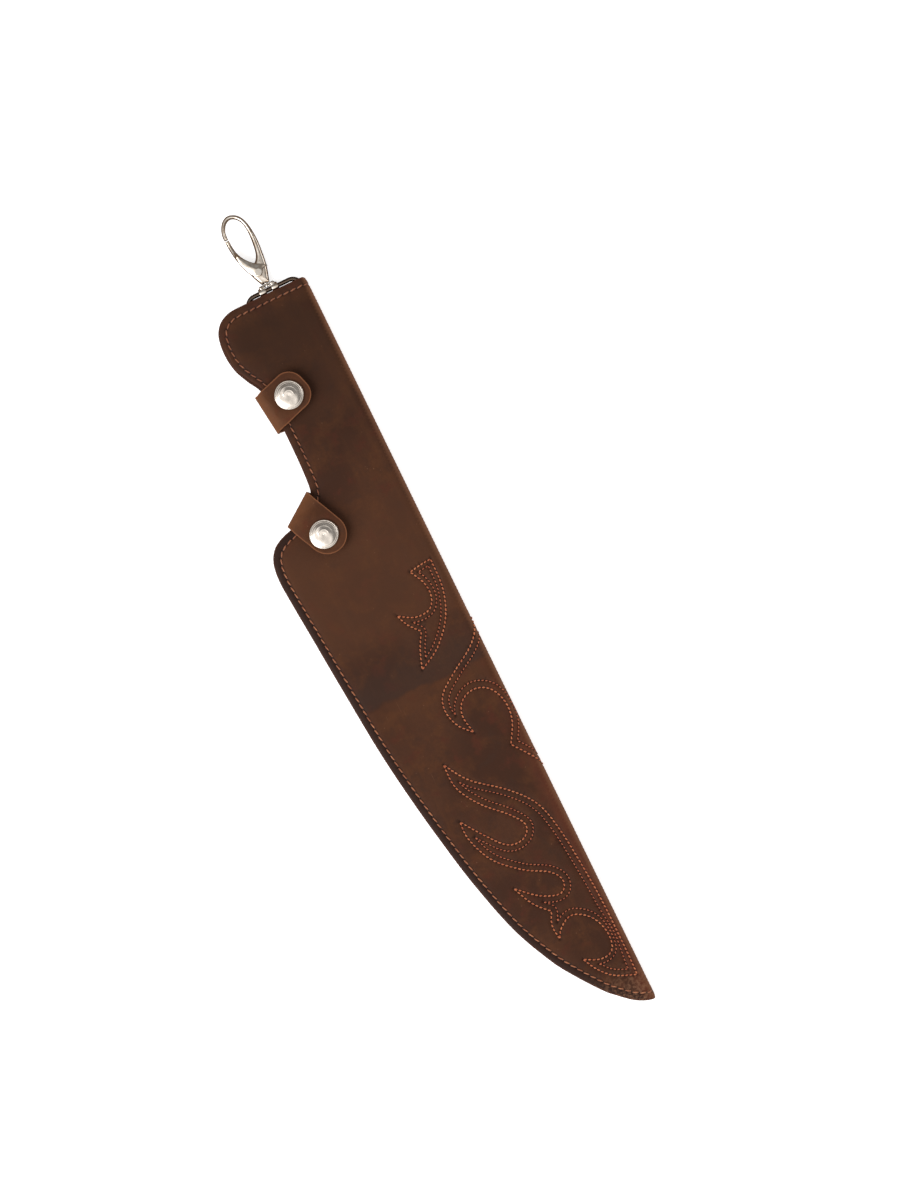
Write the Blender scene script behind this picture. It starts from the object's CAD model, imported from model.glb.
"""Looks of the leather knife sheath: waxed leather, stitching, snap straps, chrome clasp."""

import math

import bmesh
import bpy
import numpy as np
from mathutils import Matrix, Vector
from mathutils.geometry import delaunay_2d_cdt


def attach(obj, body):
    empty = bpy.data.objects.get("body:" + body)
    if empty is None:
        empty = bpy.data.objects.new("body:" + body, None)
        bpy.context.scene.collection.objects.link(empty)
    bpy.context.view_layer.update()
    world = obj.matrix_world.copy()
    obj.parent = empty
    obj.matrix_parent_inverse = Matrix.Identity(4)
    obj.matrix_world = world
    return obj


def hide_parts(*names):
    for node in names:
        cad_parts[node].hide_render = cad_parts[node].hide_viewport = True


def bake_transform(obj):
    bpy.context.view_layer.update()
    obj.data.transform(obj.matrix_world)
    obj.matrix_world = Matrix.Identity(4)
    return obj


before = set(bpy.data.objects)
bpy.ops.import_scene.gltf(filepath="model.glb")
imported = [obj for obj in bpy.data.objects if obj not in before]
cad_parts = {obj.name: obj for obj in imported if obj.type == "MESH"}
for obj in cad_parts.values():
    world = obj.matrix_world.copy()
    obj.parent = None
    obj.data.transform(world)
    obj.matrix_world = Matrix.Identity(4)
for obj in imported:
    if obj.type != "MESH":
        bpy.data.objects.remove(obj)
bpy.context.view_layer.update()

# ---------------------------------------------------------------- dimensions (mm, sheath frame)
MM = 0.001
ORIGIN = np.array([39.0, 178.0, 0.0])

LEATHER, POCKET = 2.0, 3.1
THICK = 2 * LEATHER + POCKET
Z_MID = FOLD_R = THICK / 2
QUARTER = FOLD_R * math.pi / 2
GAP = 0.3

TOP_LINE = [(0.0, 0.7), (-0.5, 1.25), (-1.6, 1.5), (-10.0, 1.55), (-22.0, 1.6), (-34.0, 1.6)]
POMMEL_AND_GRIP = [
    (-34.0, 1.6), (-41.5, 1.4), (-47.0, -0.6), (-50.6, -4.0), (-52.8, -9.0),
    (-53.6, -17.0), (-52.6, -25.5), (-49.2, -33.5), (-45.6, -40.0), (-43.9, -48.0),
    (-43.4, -61.0), (-43.4, -72.0), (-43.6, -83.0), (-44.1, -92.0), (-44.9, -97.3),
    (-46.7, -100.0), (-49.0, -103.3), (-52.0, -106.2), (-55.5, -108.0), (-59.5, -109.3),
    (-62.5, -110.1), (-65.5, -110.9), (-68.7, -112.0),
]
HEEL_AND_BELLY = [
    (-68.7, -112.0), (-73.0, -114.6), (-76.3, -119.0), (-78.0, -124.5), (-78.5, -132.0),
    (-78.0, -141.0), (-76.0, -167.0), (-74.0, -193.0), (-71.0, -228.0), (-67.5, -255.0),
    (-63.0, -282.0), (-57.5, -309.5), (-49.5, -338.5), (-40.0, -360.0), (-33.0, -371.5),
    (-23.0, -385.0), (-18.0, -390.2), (-11.0, -396.3), (-5.0, -399.5), (0.0, -400.6),
]
SEAM_INSET, SEAM_PITCH = 4.0, 3.75
WELT_WIDTH = 8.5
WELT_T = POCKET - 2 * GAP

RING_WIRE_R = 1.15
RING_X0, RING_X1, RING_Y0, RING_Y1, RING_CORNER = -32.25, -3.55, -9.5, 3.3, 4.6
SWIVEL_X, NECK_Y, STEM_R = -19.3, 6.8, 0.9
HUB_HALF_T, CHEEK_IN, CHEEK_OUT = 1.7, 2.0, 2.8
BAIL_HALF, BAIL_WAIST, KNUCKLE_R, KNUCKLE_BORE = 5.2, 1.6, 2.15, 1.45
CROWN_Y0, CROWN_Y1 = 5.5, 6.5
PIVOT_X, PIVOT_Y, PIN_R = -20.1, 13.1, 0.8
HOOK_RUNS = [
    [(-21.4, 6.8), (-22.4, 9.0), (-23.7, 12.0), (-24.2, 14.4), (-23.2, 16.4),
     (-21.0, 17.8), (-18.9, 19.4), (-17.5, 22.0), (-16.7, 26.0), (-16.2, 31.0),
     (-16.2, 35.5), (-17.0, 39.2), (-18.9, 42.0), (-21.6, 43.2), (-24.3, 42.0),
     (-26.0, 39.4), (-26.6, 37.0), (-26.7, 34.6)],
    [(-26.7, 34.6), (-28.7, 34.6)],
    [(-28.7, 34.6), (-28.6, 37.6), (-27.6, 40.8), (-25.4, 43.9), (-22.3, 45.4),
     (-18.8, 44.5), (-16.0, 41.9), (-14.4, 37.8), (-13.6, 32.5), (-13.5, 27.0),
     (-14.0, 21.5), (-14.6, 16.5), (-15.5, 12.5), (-16.5, 9.2), (-17.2, 6.8)],
    [(-17.2, 6.8), (-21.4, 6.8)],
]
GATE_RUNS = [
    [(-26.6, 34.1), (-28.6, 34.1)],
    [(-28.6, 34.1), (-28.5, 30.0), (-28.0, 25.5), (-27.1, 21.5), (-26.0, 17.6),
     (-24.6, 14.4), (-22.9, 12.0), (-21.3, 10.9), (-19.5, 10.9), (-18.3, 12.0),
     (-17.4, 13.4), (-16.2, 14.2), (-14.4, 14.8)],
    [(-14.4, 14.8), (-16.2, 16.2), (-18.8, 17.6), (-21.4, 19.6), (-23.9, 22.6),
     (-25.6, 26.2), (-26.4, 30.0), (-26.6, 34.1)],
]

STRAP_T = 1.6
TAB_Z = THICK + 3.6
BASE_Z = LEATHER + GAP
STRAPS = {
    "upper": {
        "a": (-49.3, -43.0), "b": (-46.9, -63.8), "dir": (0.956, 0.292),
        "length": 25.9, "corner": 8.2, "snap": (-33.2, -49.4), "base": 31.0,
    },
    "lower": {
        "a": (-46.57, -96.15), "b": (-62.97, -107.95), "dir": (0.415, -0.910),
        "length": 29.6, "corner": 9.9, "snap": (-47.9, -119.4), "base": 31.0,
    },
}
LOW_CORNER, HIGH_CORNER = 1.6, 4.0
CAP_R, CAP_H = 7.5, 1.75

SCROLL_PITCH = 2.15
FLAME = [
    [(7.6, -153.5), (13.5, -154.0), (19.6, -155.0)],
    [(19.6, -155.0), (15.8, -162.5), (15.2, -170.0), (19.0, -176.0), (27.0, -176.5), (35.0, -172.0)],
    [(35.0, -172.0), (32.5, -178.0), (27.5, -184.0)],
    [(27.5, -184.0), (32.0, -192.0), (35.5, -201.5)],
    [(35.5, -201.5), (24.0, -195.0), (13.8, -183.5), (8.5, -169.5), (7.6, -153.5)],
]
WRAP_HALF = [
    [(0.0, -188.0), (3.0, -195.0), (9.5, -202.0), (21.5, -209.5), (31.5, -217.0),
     (34.3, -225.0), (32.0, -234.0), (26.0, -241.0)],
    [(26.0, -241.0), (27.6, -231.0), (24.0, -224.0), (16.5, -221.5), (9.0, -225.0),
     (5.2, -234.0), (6.2, -244.0), (12.0, -254.5)],
    [(12.0, -254.5), (6.0, -262.5), (0.0, -271.0)],
]
PAISLEY = [
    [(46.8, -249.0), (38.7, -261.3), (23.0, -274.5), (13.0, -287.0), (8.8, -302.5),
     (6.6, -323.0), (5.3, -345.0), (5.2, -372.0), (5.6, -385.5)],
    [(5.6, -385.5), (16.0, -381.0), (22.5, -374.5), (26.6, -367.0)],
    [(26.6, -367.0), (18.5, -370.7), (11.5, -369.0), (9.7, -360.0), (13.5, -350.0),
     (22.0, -344.5), (29.5, -348.0), (32.6, -352.7)],
    [(32.6, -352.7), (33.2, -345.0), (30.3, -338.3)],
    [(30.3, -338.3), (37.1, -331.0), (42.3, -320.0)],
    [(42.3, -320.0), (32.0, -329.0), (22.0, -332.4), (18.2, -327.0), (22.5, -320.3),
     (34.0, -313.5), (46.0, -302.0), (51.8, -288.0), (51.9, -278.3)],
    [(51.9, -278.3), (44.0, -289.4), (35.5, -299.0), (27.0, -299.7), (22.8, -294.0),
     (28.0, -285.8), (39.0, -274.5), (46.3, -262.0), (46.8, -249.0)],
]


# ---------------------------------------------------------------- lines
def smooth_line(points, step, closed=False):
    """A Catmull-Rom line through points, with about step between the new points."""
    n = len(points)
    line = []
    for i in range(n if closed else n - 1):
        if closed:
            p = [Vector(points[(i + k - 1) % n]) for k in range(4)]
        else:
            p = [Vector(points[min(max(i + k - 1, 0), n - 1)]) for k in range(4)]
        count = max(1, round((p[2] - p[1]).length / step))
        for j in range(count):
            t = j / count
            q = 0.5 * (
                2 * p[1]
                + (p[2] - p[0]) * t
                + (2 * p[0] - 5 * p[1] + 4 * p[2] - p[3]) * t * t
                + (3 * p[1] - p[0] - 3 * p[2] + p[3]) * t * t * t
            )
            line.append((q.x, q.y))
    if not closed:
        line.append(tuple(points[-1]))
    return line


def cornered(runs, step):
    """Smooth runs one after another, with a sharp corner where two meet."""
    line = []
    for run in runs:
        line += smooth_line(run, step)[:-1]
    return line


def lengths(line):
    return np.concatenate([[0.0], np.cumsum(np.linalg.norm(np.diff(line, axis=0), axis=1))])


def resampled(line, pitch, least=1):
    """Points at equal spacing, near to pitch, along an open line, both ends kept."""
    line = np.asarray(line, float)
    s = lengths(line)
    count = max(least, round(s[-1] / pitch))
    at_s = np.linspace(0.0, s[-1], count + 1)
    return np.stack([np.interp(at_s, s, line[:, k]) for k in range(line.shape[1])], axis=1)


def left_normals(line, closed=False):
    line = np.asarray(line, float)
    if closed:
        along = np.roll(line, -1, 0) - np.roll(line, 1, 0)
    else:
        along = np.gradient(line, axis=0)
    along /= np.maximum(np.linalg.norm(along, axis=1, keepdims=True), 1e-9)
    return np.stack([-along[:, 1], along[:, 0]], axis=1)


def inset_line(line, distance, closed=False):
    line = np.asarray(line, float)
    return line + left_normals(line, closed) * distance


def without_loops(line, shape, distance):
    line, shape = np.asarray(line), np.asarray(shape)
    near = nearest(line, shape)
    return line[near > 0.93 * distance]


def nearest(points, shape):
    """Distance from each point to the nearest point of shape."""
    out = np.empty(len(points))
    for i in range(0, len(points), 2000):
        d = points[i : i + 2000, None, :] - shape[None, :, :]
        out[i : i + 2000] = np.sqrt((d * d).sum(2).min(1))
    return out


def to_segments(points, a, b):
    """Distance from each point to the nearest of the segments a-b."""
    ab = b - a
    size = np.maximum((ab * ab).sum(1), 1e-12)
    out = np.empty(len(points))
    for i in range(0, len(points), 1500):
        p = points[i : i + 1500, None, :] - a[None]
        t = np.clip((p * ab).sum(2) / size, 0, 1)
        d = p - ab * t[..., None]
        out[i : i + 1500] = np.sqrt((d * d).sum(2).min(1))
    return out


def smoothstep(x):
    x = np.clip(x, 0, 1)
    return x * x * (3 - 2 * x)


def to_q(x):
    """Distance over the front leaf from the fold's middle, for a place in plan."""
    x = np.asarray(x, float)
    on_fold = FOLD_R * np.arccos(np.clip((x + FOLD_R) / FOLD_R, -1, 1))
    return np.where(x > -FOLD_R, on_fold, QUARTER - FOLD_R - x)


def over_leather(q, y, lift):
    """Points q mm from the fold's middle over the leather, lift mm out of its surface."""
    q, y, lift = np.broadcast_arrays(np.asarray(q, float), np.asarray(y, float), lift)
    r = FOLD_R + lift
    a = q / FOLD_R
    flat = np.abs(q) > QUARTER
    side = np.sign(q)
    x = np.where(flat, -FOLD_R - (np.abs(q) - QUARTER), -FOLD_R + r * np.cos(a))
    z = np.where(flat, Z_MID + side * r, Z_MID + r * np.sin(a))
    return np.stack([x, y, z], axis=-1)


def outward(q):
    """The leather's outward direction at q."""
    a = np.clip(np.asarray(q, float) / FOLD_R, -math.pi / 2, math.pi / 2)
    return np.stack([np.cos(a), np.zeros_like(a), np.sin(a)], axis=-1)


# ---------------------------------------------------------------- meshes
def build(name, verts, faces, attributes=None, mat=None, smooth=True):
    mesh = bpy.data.meshes.new(name)
    verts = (np.asarray(verts, float) + ORIGIN) * MM
    mesh.from_pydata(verts.tolist(), [], [tuple(int(i) for i in f) for f in faces])
    mesh.update()
    for key, value in (attributes or {}).items():
        value = np.asarray(value, np.float32)
        kind = "FLOAT_VECTOR" if value.ndim == 2 else "FLOAT"
        made = mesh.attributes.new(key, kind, "POINT")
        made.data.foreach_set("vector" if value.ndim == 2 else "value", value.ravel())
    mesh.polygons.foreach_set("use_smooth", [smooth] * len(mesh.polygons))
    obj = bpy.data.objects.new(name, mesh)
    bpy.context.scene.collection.objects.link(obj)
    if mat:
        mesh.materials.append(mat)
    return obj


def applied(obj):
    """Puts the result of obj's modifiers in its mesh."""
    bpy.context.view_layer.update()
    graph = bpy.context.evaluated_depsgraph_get()
    data = bpy.data.meshes.new_from_object(obj.evaluated_get(graph), depsgraph=graph)
    obj.modifiers.clear()
    obj.data = data
    return obj


def cut(obj, cutter):
    modifier = obj.modifiers.new("cut", "BOOLEAN")
    modifier.operation = "DIFFERENCE"
    modifier.solver = "EXACT"
    modifier.object = cutter
    applied(obj)
    bpy.data.objects.remove(cutter, do_unlink=True)
    return obj


def sharpen(obj, degrees):
    obj.data.polygons.foreach_set("use_smooth", [True] * len(obj.data.polygons))
    obj.data.set_sharp_from_angle(angle=math.radians(degrees))
    return obj


def grid_faces(rows, cols, wrap_cols=False, wrap_rows=False, start=0):
    faces = []
    for i in range(rows if wrap_rows else rows - 1):
        for j in range(cols if wrap_cols else cols - 1):
            a, b = i * cols + j, i * cols + (j + 1) % cols
            c, d = ((i + 1) % rows) * cols + (j + 1) % cols, ((i + 1) % rows) * cols + j
            faces.append((start + a, start + b, start + c, start + d))
    return faces


def lathe(name, centre, profile, z0, steps, mat, ripple=None):
    """A turned piece about a vertical axis; profile runs from its top down its outer side."""
    profile = np.asarray(profile, float)
    angle = np.arange(steps) * 2 * math.pi / steps
    r, h = profile[:, 0][:, None], profile[:, 1][:, None]
    if ripple is not None:
        h = h + ripple(r, angle[None, :])
    x = centre[0] + r * np.cos(angle)
    y = centre[1] + r * np.sin(angle)
    z = z0 + h + 0 * angle
    verts = np.stack([x, y, z], axis=-1).reshape(-1, 3)
    faces = [f[::-1] for f in grid_faces(len(profile), steps, wrap_cols=True)]
    faces.append(tuple(range(steps)))
    faces.append(tuple(range((len(profile) - 1) * steps, len(profile) * steps))[::-1])
    tex = np.stack([x - centre[0], y - centre[1], z], axis=-1).reshape(-1, 3)
    return build(name, verts, faces, {"tex": tex}, mat)


def sweep_closed(name, points, radius, sides, mat):
    """A round wire along a closed line at mid height."""
    points = np.asarray(points, float)
    normals = left_normals(points, True)
    angle = np.arange(sides) * 2 * math.pi / sides
    verts = np.empty((len(points), sides, 3))
    verts[..., :2] = points[:, None] + normals[:, None] * (radius * np.cos(angle))[None, :, None]
    verts[..., 2] = Z_MID + radius * np.sin(angle)
    faces = [f for f in grid_faces(len(points), sides, True, True)]
    obj = build(name, verts.reshape(-1, 3), faces, {"tex": verts.reshape(-1, 3)}, mat)
    return outward_faces(obj)


def outward_faces(obj):
    bm = bmesh.new()
    bm.from_mesh(obj.data)
    bmesh.ops.recalc_face_normals(bm, faces=bm.faces)
    bm.to_mesh(obj.data)
    bm.free()
    return obj


def dome(ring, tall, spacing=0.55):
    """Points and triangles over a flat loop, raised in its middle like a blown skin."""
    low, high = ring.min(0), ring.max(0)
    xs = np.arange(low[0], high[0], spacing)
    ys = np.arange(low[1], high[1], spacing * 0.87)
    grid = np.array([(x + spacing * 0.5 * (j % 2), y) for j, y in enumerate(ys) for x in xs])
    grid = grid[nearest(grid, ring) > 0.4 * spacing]
    points, faces = sheet(ring, grid)
    count, fixed = len(points), len(ring)
    tie, share = np.zeros((count, count)), np.zeros(count)
    for face in faces:
        for k in range(3):
            i, j, o = face[k], face[(k + 1) % 3], face[(k + 2) % 3]
            a, b = points[i] - points[o], points[j] - points[o]
            area = abs(a[0] * b[1] - a[1] * b[0])
            weight = np.clip((a @ b) / max(area, 1e-6), 0.02, 20.0) / 2
            tie[i, j] += weight
            tie[j, i] += weight
            share[o] += area / 6
    free = np.arange(fixed, count)
    matrix = np.diag(tie.sum(1)[free]) - tie[np.ix_(free, free)]
    rise = np.zeros(count)
    rise[free] = np.linalg.solve(matrix, share[free])
    return points, faces, tall * np.minimum(rise / 3.0, 1.6) ** 1.4


def pillow(name, line, half, reach, mat, fill=0.85, steps=7, z_mid=Z_MID, extra=None, bulge=0.0):
    """A flat outline with sides rounded like an ellipse; half may vary with the place."""
    line = np.asarray(line, float)
    area = 0.5 * np.sum(
        np.roll(line[:, 0], 1) * line[:, 1] - line[:, 0] * np.roll(line[:, 1], 1)
    )
    if area < 0:
        line = line[::-1]
    normals = left_normals(line, True)
    d = line[None] - line[:, None]
    ahead = (d * normals[:, None]).sum(2)
    size = (d * d).sum(2)
    tangent = np.where(ahead > 0.05 * np.sqrt(size) + 1e-6, size / (2 * np.maximum(ahead, 1e-6)), 1e3)
    most = np.array([reach(*p) for p in line]) if callable(reach) else reach
    rim = np.minimum(most, fill * tangent.min(1))
    for _ in range(6):
        rim = np.minimum(rim, (np.roll(rim, 1) + rim + np.roll(rim, -1)) / 3 + 0.02)
    tall = np.array([half(*p) for p in line]) if callable(half) else np.full(len(line), half)
    rings = []
    for k in range(-steps, steps + 1):
        a = math.pi / 2 * k / steps
        place = line + normals * (rim * (1 - math.cos(a)))[:, None]
        rings.append(np.column_stack([place, z_mid + tall * math.sin(a)]))
    verts = np.concatenate(rings)
    n = len(line)
    faces = grid_faces(len(rings), n, wrap_cols=True)
    if bulge:
        last = rings[-1]
        flat, caps, rise = dome(last[:, :2], bulge)
        inner = flat[n:]
        level = last[:, 2].max()
        first = len(verts)
        for sign, loop_start in ((1, (len(rings) - 1) * n), (-1, 0)):
            z = z_mid + sign * (level - z_mid + rise[n:])
            faces += [tuple(loop_start + i if i < n else first + i - n for i in f) for f in caps]
            verts = np.concatenate([verts, np.column_stack([inner, z])])
            first += len(inner)
    else:
        faces.append(tuple(range(n))[::-1])
        faces.append(tuple(range((len(rings) - 1) * n, len(rings) * n)))
    attributes = {"tex": verts}
    attributes.update(extra(verts) if extra else {})
    return outward_faces(build(name, verts, faces, attributes, mat))


def prism(name, points, z0, z1):
    points = np.asarray(points, float)
    n = len(points)
    verts = np.concatenate([np.column_stack([points, np.full(n, z)]) for z in (z0, z1)])
    faces = grid_faces(2, n, wrap_cols=True)
    faces += [tuple(range(n))[::-1], tuple(range(n, 2 * n))]
    return outward_faces(build(name, verts, faces, smooth=False))


def disc(name, centre, radius, z0, z1, sides=48):
    a = np.arange(sides) * 2 * math.pi / sides
    return prism(
        name, np.column_stack([centre[0] + radius * np.cos(a), centre[1] + radius * np.sin(a)]), z0, z1
    )


# ---------------------------------------------------------------- node materials
class Shader:
    """A node material with one Principled BSDF, and short ways to add nodes to it."""

    def __init__(self, name):
        self.mat = bpy.data.materials.new(name)
        self.mat.use_nodes = True
        self.tree = self.mat.node_tree
        self.bsdf = self.tree.nodes["Principled BSDF"]

    def set(self, **values):
        for key, value in values.items():
            self.feed(self.bsdf.inputs[key.replace("_", " ")], value)
        return self

    def feed(self, socket, value):
        if isinstance(value, bpy.types.NodeSocket):
            self.tree.links.new(value, socket)
        elif isinstance(value, tuple) and len(value) == 3 and len(socket.default_value) == 4:
            socket.default_value = (*value, 1.0)
        else:
            socket.default_value = value

    def node(self, kind, inputs=None, **props):
        made = self.tree.nodes.new(kind)
        for key, value in props.items():
            setattr(made, key, value)
        for key, value in (inputs or {}).items():
            self.feed(made.inputs[key], value)
        return made

    def value(self, name, kind="Fac"):
        return self.node("ShaderNodeAttribute", attribute_name=name).outputs[kind]

    def scaled(self, vector, scale, turn=0.0):
        return self.node(
            "ShaderNodeMapping",
            {"Vector": vector, "Scale": scale, "Rotation": (0, 0, turn)},
        ).outputs[0]

    def noise(self, vector, scale, detail=3.0, rough=0.55, distortion=0.0):
        return self.node(
            "ShaderNodeTexNoise",
            {"Vector": vector, "Scale": scale, "Detail": detail, "Roughness": rough,
             "Distortion": distortion},
        ).outputs["Fac"]

    def cells(self, vector, scale, feature="F1", randomness=1.0):
        return self.node(
            "ShaderNodeTexVoronoi",
            {"Vector": vector, "Scale": scale, "Randomness": randomness},
            feature=feature,
        ).outputs["Distance"]

    def maths(self, operation, a, b=0.0, c=None):
        inputs = {0: a, 1: b}
        if c is not None:
            inputs[2] = c
        return self.node("ShaderNodeMath", inputs, operation=operation).outputs[0]

    def span(self, value, low, high, out_low=0.0, out_high=1.0, smooth=True):
        return self.node(
            "ShaderNodeMapRange",
            {"Value": value, "From Min": low, "From Max": high, "To Min": out_low,
             "To Max": out_high},
            interpolation_type="SMOOTHSTEP" if smooth else "LINEAR",
        ).outputs[0]

    def mix(self, factor, a, b, mode="MIX"):
        made = self.node("ShaderNodeMix", data_type="RGBA", blend_type=mode)
        self.feed(made.inputs["Factor"], factor)
        colours = [s for s in made.inputs if s.type == "RGBA"]
        self.feed(colours[0], a)
        self.feed(colours[1], b)
        return [s for s in made.outputs if s.type == "RGBA"][0]

    def bump(self, height, strength, distance, normal=None):
        inputs = {"Height": height, "Strength": strength, "Distance": distance}
        if normal is not None:
            inputs["Normal"] = normal
        return self.node("ShaderNodeBump", inputs).outputs[0]


def waxed_leather(name, dark, base, warm, scuff, raw, raw_width=0.5, margin=None, stripe=None):
    """Oiled pull-up leather: cloudy browns, fine pores, faint scuffs, darker margin, raw edges."""
    s = Shader(name)
    tex = s.value("tex", "Vector")
    big = s.noise(tex, 0.020, 2.0, 0.5, 0.2)
    middle = s.noise(tex, 0.075, 4.0, 0.62, 0.3)
    other = s.noise(s.scaled(tex, (1.0, 1.0, 1.0), 1.1), 0.11, 3.0, 0.6)
    fine = s.noise(tex, 0.6, 5.0, 0.7)
    grain = s.noise(tex, 3.2, 4.0, 0.6)
    colour = s.mix(s.span(big, 0.40, 0.60), dark, base)
    colour = s.mix(s.maths("MULTIPLY", s.span(middle, 0.44, 0.68), 0.70), colour, warm)
    # Redder and cooler clouds, where the dye took unevenly.
    redder = tuple(c * k for c, k in zip(base, (1.12, 0.80, 0.86)))
    colour = s.mix(s.span(other, 0.52, 0.72, 0.0, 0.8), colour, redder)
    cooler = tuple(c * k for c, k in zip(dark, (0.92, 1.10, 1.30)))
    colour = s.mix(s.span(other, 0.46, 0.26, 0.0, 0.7), colour, cooler)
    colour = s.mix(s.span(fine, 0.30, 0.72, 0.0, 0.42), colour, dark)
    # Long faint rubs and short scratches, where the wax has moved and the leather shows paler.
    rubs = s.noise(s.scaled(tex, (0.14, 0.012, 0.1), 0.25), 1.0, 4.0, 0.6)
    colour = s.mix(s.span(rubs, 0.54, 0.78, 0.0, 0.40), colour, warm)
    scratch = s.noise(s.scaled(tex, (1.4, 0.06, 0.5), -0.6), 1.0, 3.0, 0.5)
    spots = s.noise(tex, 0.05, 2.0)
    marks = s.maths("MULTIPLY", s.span(scratch, 0.69, 0.76), s.span(spots, 0.50, 0.62, 0.0, 0.35))
    colour = s.mix(marks, colour, scuff)
    specks = s.cells(tex, 0.30)
    colour = s.mix(
        s.maths("MULTIPLY", s.span(specks, 0.11, 0.05), s.span(middle, 0.48, 0.62, 0.0, 0.5)),
        colour, scuff,
    )
    rough = s.span(middle, 0.25, 0.75, 0.54, 0.66)
    edge = s.value("edge")
    wander = s.maths("MULTIPLY", s.maths("SUBTRACT", s.noise(tex, 0.25, 3.0), 0.5), 1.2)
    if margin:
        along = s.node("ShaderNodeSeparateXYZ", {"Vector": tex}).outputs["Y"]
        # Handling has darkened the grip, most towards the hook end, less along its own edge.
        handled = s.maths("MULTIPLY", s.span(along, -125.0, 5.0, 0.0, 0.80), s.span(edge, 1.0, 14.0, 0.15, 1.0))
        colour = s.mix(handled, colour, (0.0315, 0.0128, 0.0064))
        # Between grip and fold the leather is less handled and a little paler.
        paler = s.maths("MULTIPLY", s.span(along, -100.0, -135.0), s.span(along, -192.0, -170.0, 0.0, 0.55))
        colour = s.mix(paler, colour, (0.082, 0.0315, 0.0145))
        # An old fold across the sheath: dark and cool above it, paler and warmer just below.
        sway = s.maths("MULTIPLY", s.maths("SUBTRACT", middle, 0.5), 9.0)
        height = s.maths("ADD", s.maths("ADD", along, 209.5), sway)
        above = s.maths("MULTIPLY", s.span(height, -0.8, 1.4), s.span(height, 28.0, 6.0))
        colour = s.mix(s.maths("MULTIPLY", above, 0.55), colour, (0.036, 0.0195, 0.0140))
        below = s.maths("MULTIPLY", s.span(height, 0.4, -1.4), s.span(height, -26.0, -4.0))
        colour = s.mix(s.maths("MULTIPLY", below, 0.30), colour, warm)
        colour = s.mix(s.maths("MULTIPLY", s.value("ruddy"), s.span(middle, 0.3, 0.6, 0.6, 0.95)),
                       colour, (0.104, 0.0290, 0.0150))
        place = s.maths("ADD", edge, s.maths("MULTIPLY", wander, 0.6))
        zone = s.maths("MULTIPLY", s.span(place, 4.9, 3.4), s.value("burnish"))
        colour = s.mix(zone, colour, margin)
        colour = s.mix(s.maths("MULTIPLY", s.span(place, 1.0, 0.25), 0.85), colour, raw)
        scuffed = s.maths("MULTIPLY", s.value("tip"), s.span(fine, 0.42, 0.66, 0.0, 0.8))
        colour = s.mix(scuffed, colour, scuff)
        rough = s.maths("SUBTRACT", rough, s.maths("MULTIPLY", zone, 0.06))
    if stripe:
        line = s.maths("MULTIPLY", s.value("fold"), s.span(middle, 0.2, 0.7, 0.7, 1.0))
        colour = s.mix(line, colour, stripe)
    if not margin:
        line = s.span(s.maths("ADD", edge, s.maths("MULTIPLY", wander, 0.3)), raw_width + 0.2, raw_width - 0.2)
        fibre = s.noise(s.scaled(tex, (1.5, 1.5, 1.5)), 2.2, 4.0, 0.7)
        tone = s.mix(s.span(fibre, 0.3, 0.7), raw, tuple(c * 0.6 for c in raw))
        colour = s.mix(line, colour, tone)
        rough = s.maths("ADD", rough, s.maths("MULTIPLY", line, 0.2))
    colour = s.mix(s.maths("MULTIPLY", s.value("hole"), 0.95), colour, (0.0085, 0.0019, 0.0010))
    pores = s.cells(tex, 1.9)
    height = s.maths("ADD", s.maths("MULTIPLY", grain, 0.5), s.maths("MULTIPLY", s.span(pores, 0.0, 0.35), 0.35))
    height = s.maths("ADD", height, s.maths("MULTIPLY", fine, 0.8))
    normal = s.bump(height, 0.42, 0.00012)
    s.set(Base_Color=colour, Roughness=rough, Normal=normal, Specular_IOR_Level=0.10)
    return s.mat


def twisted_thread(name, light, dark):
    """Waxed twisted thread; tex holds (mm along, turn 0..1, row)."""
    s = Shader(name)
    tex = s.value("tex", "Vector")
    parts = s.node("ShaderNodeSeparateXYZ", {"Vector": tex})
    along, turn = parts.outputs["X"], parts.outputs["Y"]
    phase = s.maths("ADD", s.maths("MULTIPLY", along, 8.5), s.maths("MULTIPLY", turn, 12.566))
    ply = s.maths("ADD", s.maths("MULTIPLY", s.maths("SINE", phase), 0.5), 0.5)
    worn = s.noise(tex, 0.23, 3.0, 0.6)
    fuzz = s.noise(s.scaled(tex, (6.0, 9.0, 1.0)), 1.0, 3.0)
    colour = s.mix(s.span(worn, 0.3, 0.7), dark, light)
    colour = s.mix(s.maths("MULTIPLY", s.span(ply, 0.55, 0.0), 0.55), colour, tuple(c * 0.35 for c in dark))
    colour = s.mix(s.span(fuzz, 0.55, 0.8, 0.0, 0.35), colour, tuple(min(1.0, c * 1.5) for c in light))
    colour = s.mix(s.maths("MULTIPLY", s.value("soiled"), 0.62), colour, tuple(c * 0.45 for c in dark))
    colour = s.mix(s.maths("MULTIPLY", s.value("hole"), 0.92), colour, tuple(c * 0.10 for c in dark))
    s.set(Base_Color=colour, Roughness=s.span(fuzz, 0.3, 0.7, 0.55, 0.75),
          Normal=s.bump(ply, 0.6, 0.00008), Specular_IOR_Level=0.35, Sheen_Weight=0.15)
    return s.mat


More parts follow.
